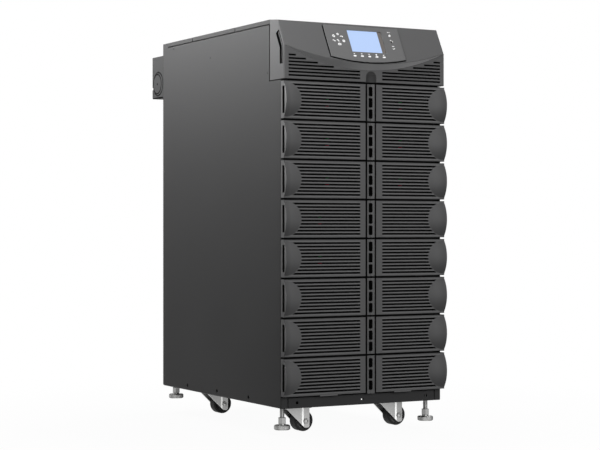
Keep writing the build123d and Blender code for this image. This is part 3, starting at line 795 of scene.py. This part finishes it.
def soften_chin(finish):
    """Blend the shading of the hood's chin into its face.

    In front of the face the normal is averaged over a wide radius. On faces that
    look down it turns to the front as the distance from the middle grows. Those faces, ahead of the face, are
    painted paler, and paler still on the right: painted light.
    """
    tree = finish.node_tree
    aside = axis_share(finish, "Place", "X", -0.2, 0.1, size=True)
    down = axis_share(finish, "Facing", "Z", -0.3, -0.45)
    ahead = axis_share(finish, "Place", "Y", bezel_face + 0.0004, bezel_face - 0.0004)
    melt = combined(finish, "MULTIPLY", (aside, down))
    broad = wired(tree, "Bevel", {"Radius": chin_round}, samples=8).outputs["Normal"]
    normal = source_of(finish, "Normal")
    for share, other in ((ahead, broad), (melt, chin_front)):
        both = {"Factor": share, "A": normal, "B": other}
        normal = wired(tree, "Mix", both, data_type="VECTOR").outputs["Result"]
    even = wired(tree, "VectorMath", {0: normal}, operation="NORMALIZE").outputs[0]
    feed(tree, tree.nodes["Principled BSDF"], {"Normal": even})
    tint(finish, chin_light, down, ahead)
    tint(finish, chin_right_light, down, ahead, axis_share(finish, "Place", "X", 0.0, 0.13))


soften_chin(head_grey)
# Painted shade: a dark niche above the strip, a black lower rim, and side walls a little darker
niche_start, niche_inner_half = 0.0012, 0.0148
niche_box = {
    "Middle": strip_middle,
    "Low": (0, bezel_face + niche_start, -beyond),
    "High": (niche_inner_half, beyond, fold_height),
}
niche_shade, rim_shade, side_shade = 0.3, 0.02, 0.9
tint(head_grey, niche_shade, box_share(head_grey, niche_box))
tint(head_grey, rim_shade, axis_share(head_grey, "Place", "Z", hood_low.z + 0.0011, hood_low.z + 0.0007))
tint(head_grey, side_shade, axis_share(head_grey, "Facing", "X", 0.6, 0.9, size=True))
dress(head_grey, "head_bezel")

# Grip ribs
# A raised rib moulded along each tongue that stands in a side grip, bent with
# the hood's front edge.
mm = 0.001
rib_section = np.array(((10.0, 4.0), (10.0, 1.7), (10.5, 1.2), (12.4, 1.2), (12.9, 1.7), (12.9, 4.0))) * mm
rib_below, rib_above = 0.040, 0.032
bend_rate = (np.hypot(slope_run, slope_rise) - slope_rise) / slope_run


def bent_rib(side):
    """Points and faces of a rib that follows the hood's front edge.

    A station is the section's (distance behind the edge, depth in from the wall).
    Below the bend the place is that distance back. Above it the slope's lean is added.
    """
    back, deep = rib_section.T
    bend = fold_height - back * bend_rate
    low = np.full_like(back, fold_height - rib_below)
    high = np.full_like(back, fold_height + rib_above)
    level = np.stack((low, (low + bend) / 2, bend, (bend + high) / 2, high))
    behind = bezel_face + back + np.maximum(level - bend, 0) * slope_lean
    across = np.broadcast_to(side * (half_width - deep), level.shape)
    points = np.stack((across, behind, level), axis=-1).reshape(-1, 3)
    faces = tube_faces(len(level), len(back))
    return points, faces if side > 0 else [face[::-1] for face in faces]


rib_grey = grained_finish(
    "grip_rib_plastic", plastic_colour,
    roughness=0.56, count=2600.0, depth=0.1,
    edge=0.0006, lift=-0.2, swing=0.04, shine=0.22,
)
for side, name in ((-1, "left_grip_rib"), (1, "right_grip_rib")):
    points, faces = bent_rib(side)
    piece_of(name, points, faces, "cabinet", rib_grey)

# Control panel
# A satin film over a moulded plate, with a lit screen, five oval keys and
# printed symbols for the power path. A black bead along its left and lower edges is a painted shadow, and its
# white keys and symbols carry a painted glow.
# The film's edges are painted paler: a painted highlight.
panel_grey = grained_finish(
    "panel_film", (0.225, 0.225, 0.227),
    roughness=0.5, count=3200.0, depth=0.05,
    edge=0.0009, lift=0.8, swing=0.03, shine=0.3,
)
dress(panel_grey, "control_panel")
key_white = grained_finish(
    "key_white_plastic", (0.85, 0.85, 0.85),
    roughness=0.4, count=2600.0, depth=0.05,
    edge=0.0003, lift=0.1, swing=0.02,
)
white_glow_strength = 0.6


def paint_white_glow(finish):
    """Give a white finish a faint glow of its own: painted light that makes it read brighter."""
    glow = {"Emission Color": (1, 1, 1, 1), "Emission Strength": white_glow_strength}
    feed(finish.node_tree, finish.node_tree.nodes["Principled BSDF"], glow)


paint_white_glow(key_white)
dress(key_white, "buttons")

screen_lit_to = 0.042
screen_edge = 0.0006
screen_glow = (0.485, 0.64, 0.95, 1)
screen_frame = (0.26, 0.235, 0.22, 1)
screen_pixels = 2000.0
between_pixels = 0.97
screen_glass = (0.1, 0.13, 0.2, 1)
screen_blue = bpy.data.materials.new("lit_screen")
screen_blue.use_nodes = True
tree = screen_blue.node_tree
skin = tree.nodes["Principled BSDF"]
feed(tree, skin, {"Roughness": 0.35, "Emission Strength": 0.9, "Specular IOR Level": 0.2})
place = wired(tree, "TexCoord", {}).outputs["Object"]
across = wired(tree, "SeparateXYZ", {0: place}).outputs["X"]
lit = even_share(screen_blue, across, screen_lit_to + screen_edge, screen_lit_to)
dots = wired(tree, "TexWave", {"Vector": place, "Scale": screen_pixels}, bands_direction="X").outputs["Fac"]
darker = (*(channel * between_pixels for channel in screen_glow[:3]), 1)
shimmer = wired(tree, "Mix", {"Factor": dots, "A": darker, "B": screen_glow}, data_type="RGBA")
for socket, dark, bright in (
    ("Base Color", screen_frame, screen_glass),
    ("Emission Color", (0, 0, 0, 1), shimmer.outputs["Result"]),
):
    pick = wired(tree, "Mix", {"Factor": lit, "A": dark, "B": bright}, data_type="RGBA")
    feed(tree, skin, {socket: pick.outputs["Result"]})
dress(screen_blue, "display")

# The panel's plane leans back from the fold of the head: u runs to the right
# and v up the slope, both from the middle of the fold.
slope_up = np.array((0.0, slope_run, slope_rise)) / np.hypot(slope_run, slope_rise)
slope_out = np.array((0.0, -slope_rise, slope_run)) / np.hypot(slope_run, slope_rise)
slope_right = np.array((1.0, 0.0, 0.0))
fold_middle = np.array((0.0, bezel_face, fold_height))


def on_slope(across_up, out):
    """Place on the head's slope: fold's middle plus u, v and a height above it."""
    across_up = np.asarray(across_up, float)
    return (
        fold_middle
        + across_up[..., :1] * slope_right
        + across_up[..., 1:] * slope_up
        + np.asarray(out, float)[..., None] * slope_out
    )


def strokes(paths, section):
    """Points and faces of lines laid on the slope.

    Each path is an (n, 2) array of u, v. The section is a list of (sideways,
    height) pairs. A point goes to the path's point, plus sideways across the
    line, and to that height above the slope. Ends are closed by flat faces.
    """
    points, faces, start = [], [], 0
    section = np.array(section, float)
    count = len(section)
    for path in paths:
        path = np.array(path, float)
        along = np.gradient(path, axis=0)
        along /= np.linalg.norm(along, axis=1)[:, None]
        across = np.stack((along[:, 1], -along[:, 0]), axis=-1)
        spread = path[:, None, :] + section[None, :, :1] * across[:, None, :]
        rise = np.broadcast_to(section[None, :, 1], spread.shape[:2])
        points.append(on_slope(spread, rise).reshape(-1, 3))
        faces += tube_faces(len(path), count, start)
        start += len(path) * count
    return np.concatenate(points), faces


def arc(u, v, radius, first, last, count=13):
    """Path along a circle about (u, v), between two angles in degrees."""
    angle = np.radians(np.linspace(first, last, count))
    return np.stack((u + radius * np.cos(angle), v + radius * np.sin(angle)), axis=-1)


def line(*corners):
    """Path with straight runs: each run is cut in four so that its ends stay square."""
    corners = np.array(corners, float)
    share = np.linspace(0, 1, 5)[:, None]
    runs = [a + (b - a) * share for a, b in zip(corners[:-1], corners[1:])]
    return np.concatenate([runs[0], *[run[1:] for run in runs[1:]]])


film_face = 0.0020
ink = 0.00012
ink_half = 0.0008
ink_section = [(-ink_half, film_face - ink), (-ink_half, film_face + ink)]
ink_section += [(ink_half, film_face + ink), (ink_half, film_face - ink)]
wave = np.linspace(0, 2 * pi, 15)
symbol_paths = [
    # Ring with a bar, roof with a base, turn-back arrow
    arc(-81, 32, 2.9, 60, 390),
    line((-81, 32.6), (-81, 35.6)),
    line((-72.4, 37), (-69, 40.2), (-65.6, 37)),
    line((-71, 35.6), (-67, 35.6)),
    arc(-60.5, 29.6, 3.2, 10, 165),
    line((-59.4, 30.6), (-57.3, 30.1), (-56.9, 32.4)),
    # Wave, step, socket
    np.stack((np.linspace(-86.4, -79.6, 15), 19 + 1.8 * np.sin(wave)), axis=-1),
    line((-75.2, 21.8), (-71.8, 21.8), (-72.6, 18), (-69, 18)),
    arc(-57, 19, 2.8, 0, 360, 25),
    line((-58.6, 19), (-55.4, 19)),
    # Battery
    line((-74.2, 7.4), (-74.2, 11), (-67.2, 11), (-67.2, 7.4), (-74.9, 7.4)),
    line((-72.6, 12.2), (-69.4, 12.2)),
    # Right column: twin bars, bell clapper, tick, reset bars
    line((71.8, 51.4), (74.4, 51.4)),
    line((75.8, 51.4), (78.2, 51.4)),
    line((72.8, 29), (76.8, 29)),
    line((78.6, 27.4), (78.6, 23.4)),
    line((73.6, 11.8), (80, 11.8)),
    line((74, 5.8), (76.2, 3.6), (80.2, 6.2)),
]
# One small mark above each key
keys_aside = 2.4
key_marks = [
    line((-41.8, -15), (-38.6, -15)),
    line((-21.6, -15.8), (-20, -14.2), (-18.4, -15.8)),
    line((-1.6, -14.2), (0, -15.8), (1.6, -14.2)),
    arc(20, -15.2, 1.3, 0, 360, 17),
    line((38.6, -15.2), (39.8, -16.2), (41.8, -14)),
]
symbol_paths += [mark + (keys_aside, 0) for mark in key_marks]
ink_white = grained_finish(
    "printed_white_ink", (0.85, 0.85, 0.85),
    roughness=0.5, count=3000.0, depth=0.04,
    edge=0.0001, lift=0.1, swing=0.04, shine=0.3,
)
paint_white_glow(ink_white)
points, faces = strokes([np.asarray(path) * mm for path in symbol_paths], ink_section)
piece_of("panel_symbols", points, faces, "cabinet", ink_white)

# Painted shadow bead
# A black bead laid where the panel's shadow gap falls: painted shadow that
# shows as a dark line down the left edge of the panel and along its curved lower edge.
panel_half = 0.102
panel_top = 0.0605
panel_corner = -0.0247
panel_chin = -0.0368
chin_dip = panel_corner - panel_chin
chin_radius = (panel_half**2 + chin_dip**2) / (2 * chin_dip)
chin_angle = np.degrees(np.arcsin(panel_half / chin_radius))
shadow_bead_half = 0.0017
shadow_bead_clear = 0.0012
left_run = line((-panel_half - shadow_bead_clear, panel_top), (-panel_half - shadow_bead_clear, panel_corner))
lower_run = arc(
    0, panel_chin + chin_radius, chin_radius + shadow_bead_clear, 270 - chin_angle, 270 + chin_angle, 41
)
shadow_bead_section = (
    (-shadow_bead_half, -0.0012),
    (-shadow_bead_half, 0.0001),
    (-shadow_bead_half * 0.5, 0.0007),
    (shadow_bead_half * 0.5, 0.0007),
    (shadow_bead_half, 0.0001),
    (shadow_bead_half, -0.0012),
)
black_foam_and_shadow = grained_finish(
    "black_foam_and_painted_shadow", (0.004, 0.004, 0.004),
    roughness=0.9, count=2200.0, depth=0.3,
    edge=0.0003, lift=0.2, swing=0.2, shine=0.05,
)
points, faces = strokes([np.concatenate((left_run[:-1], lower_run))], shadow_bead_section)
piece_of("panel_shadow_bead", points, faces, "cabinet", black_foam_and_shadow)

# Power lamp and alarm key on the panel's right
# A white domed lamp and a small dark key, both pushed through the film.
dome_profile = ((0.0031, -0.0005), (0.0031, 0.0004), (0.0025, 0.001), (0.0014, 0.0014), (0.0003, 0.0015))
lamp_place = on_slope(np.array((75.0, 41.0)) * mm, film_face)
turned("power_lamp", dome_profile, [lamp_place], slope_out, "cabinet", key_white)
small_key_profile = ((0.0023, -0.0005), (0.0023, 0.0005), (0.0019, 0.0009), (0.0003, 0.0009))
small_key_place = on_slope(np.array((75.7, 23.0)) * mm, film_face)
turned("alarm_key", small_key_profile, [small_key_place], slope_out, "cabinet", black_foam_and_shadow)

# Skirt screw
# A bright pan-head screw that holds the front skirt of the base pan, and a small
# black grommet pushed into the skirt beside it.
screw_profile = (
    (0.0019, 0.0),
    (0.0019, 0.0005),
    (0.0015, 0.001),
    (0.0009, 0.0012),
    (0.0007, 0.0012),
    (0.0006, 0.0006),
    (0.0002, 0.0006),
)
bright_steel = grained_finish(
    "bright_screw_steel", (0.85, 0.85, 0.84),
    roughness=0.25, count=600.0, depth=0.05,
    edge=0.0003, lift=0.1, swing=0.05, metal=1.0,
)
screw_across, screw_height = -0.004, body_bottom + 0.0126
screw_place = (screw_across, body_front, screw_height)
turned("skirt_screw", screw_profile, [screw_place], (0, -1, 0), "cabinet", bright_steel)
grommet_profile = (
    (0.0017, 0.0),
    (0.0017, 0.0003),
    (0.0014, 0.0005),
    (0.001, 0.0005),
    (0.0008, 0.0001),
    (0.0002, 0.0001),
)
turned(
    "skirt_grommet",
    grommet_profile,
    [(screw_across + 0.0042, body_front, screw_height)],
    (0, -1, 0),
    "cabinet",
    black_foam_and_shadow,
    sides=16,
)

# Levelling feet
# Turned zinc-plated steel: a knurled pad, a threaded stud and a lock nut.
zinc = grained_finish(
    "zinc_plated_steel", (0.36, 0.36, 0.355),
    roughness=0.46, count=400.0, depth=0.12,
    edge=0.001, lift=-0.7, swing=0.2, metal=1.0,
)
# Painted reflections: a bright band left of the middle, dark ones beside it and to the right
for amount, *spans in (
    (0.45, (-0.52, -0.6), (-0.82, -0.72)),
    (0.3, (0.0, 0.3)),
    (1.5, (-0.55, -0.45), (0.0, -0.1)),
):
    tint(zinc, amount, *(axis_share(zinc, "Facing", "X", *span) for span in spans))
dress(zinc, "levelling_feet", "lock_nuts", "caster_plates")
front_foot, rear_foot = (body_front + 0.035, 0.015), (body_front + 0.627, 0.036)
foot_places = [(across, *foot) for across in (-0.198, 0.198) for foot in (front_foot, rear_foot)]
stud_radius = 0.005
thread_pitch = 0.00175
thread_depth = 0.0006
pad_radius = 0.0185
knurl_count = 44
knurl_depth = 0.0005


def sleeve(places, radius_at, low_high, around, along):
    """Closed sleeves about upright axes: radius_at(angle, height) over a grid.

    A point at an angle and a height stands that radius from the axis. The first
    and the last ring are closed by flat faces.
    """
    points, faces, start = [], [], 0
    angle = np.arange(around) * 2 * pi / around
    for (x, y, base), (low, high) in zip(places, low_high):
        count = max(2, int(round((high - low) / along)) + 1)
        height = np.linspace(low, high, count)
        turn, level = np.meshgrid(angle, height)
        radius = radius_at(turn, level)
        shape = (x + radius * np.cos(turn), y + radius * np.sin(turn), base + level)
        points.append(np.stack(shape, axis=-1).reshape(-1, 3))
        faces += tube_faces(count, around, start)
        start += count * around
    return np.concatenate(points), faces


def thread_radius(turn, level):
    """Stud's radius plus a ridge that climbs one pitch a turn."""
    phase = level / thread_pitch - turn / (2 * pi)
    return stud_radius + thread_depth * (0.5 + 0.5 * np.cos(2 * pi * phase))


def knurl_radius(turn, level):
    """Pad's radius plus upright ridges all round."""
    return pad_radius + knurl_depth * np.abs(np.cos(turn * knurl_count / 2))


thread_spans = [(0.0281, body_bottom - base - 0.0001) for _, _, base in foot_places]
points, faces = sleeve(foot_places, thread_radius, thread_spans, 20, thread_pitch / 7)
piece_of("stud_threads", points, faces, "cabinet", zinc)
knurl_spans = [(0.0018, 0.0092)] * len(foot_places)
points, faces = sleeve(foot_places, knurl_radius, knurl_spans, knurl_count * 4, 0.004)
piece_of("pad_knurls", points, faces, "cabinet", zinc)

# Casters
# Pressed zinc-plated forks on a ball race, with black rubber tyres on grey
# nylon wheels, which turn on riveted axles.
tyre_inner = 0.0192
hub_fade = 0.0002
hub_grey = (0.22, 0.22, 0.225, 1)
fork_zinc = grained_finish(
    "pressed_zinc_plated_steel", (0.42, 0.42, 0.415),
    roughness=0.42, count=400.0, depth=0.12,
    edge=0.0011, lift=0.9, swing=0.2, metal=1.0,
)
# Painted highlight on the slanted faces of the fork's pressed step
step_light = 2.1
tint(
    fork_zinc,
    step_light,
    axis_share(fork_zinc, "Facing", "X", 0.12, 0.3, size=True),
    axis_share(fork_zinc, "Facing", "Y", 0.5, 0.8, size=True),
)


def wheel_finish(name, centre):
    """Tyre and hub in one material: rubber outside a circle about the axle, nylon inside it."""
    finish = grained_finish(
        name, (0.034, 0.034, 0.034),
        roughness=0.66, count=1200.0, depth=0.2,
        edge=0.0014, lift=-0.85, swing=0.2, shine=0.25,
    )
    tree = finish.node_tree
    away = axis_distance(finish, (centre.x, 0, centre.z), (1, 0, 1))
    inside = even_share(finish, away, tyre_inner, tyre_inner - hub_fade)
    both = {"Factor": inside, "A": source_of(finish, "Base Color"), "B": hub_grey}
    pick = wired(tree, "Mix", both, data_type="RGBA").outputs["Result"]
    feed(tree, tree.nodes["Principled BSDF"], {"Base Color": pick})
    return finish


rivet_head = ((0.0036, -0.0002), (0.0036, 0.0004), (0.0027, 0.001), (0.0012, 0.0013), (0.0002, 0.0013))
for corner in ("front_left", "front_right", "back_left", "back_right"):
    dress(fork_zinc, f"{corner}_fork")
    dress(zinc, f"{corner}_axle")
    low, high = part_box(f"{corner}_wheel")
    centre = (low + high) / 2
    dress(wheel_finish(f"{corner}_tyre_and_hub", centre), f"{corner}_wheel")
    low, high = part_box(f"{corner}_axle")
    for end, face, way in (("front", low.y, -1), ("back", high.y, 1)):
        place = (centre.x, face, centre.z)
        name = f"{corner}_{end}_axle_rivet"
        turned(name, rivet_head, [place], (0, way, 0), f"{corner}_fork_body", zinc)
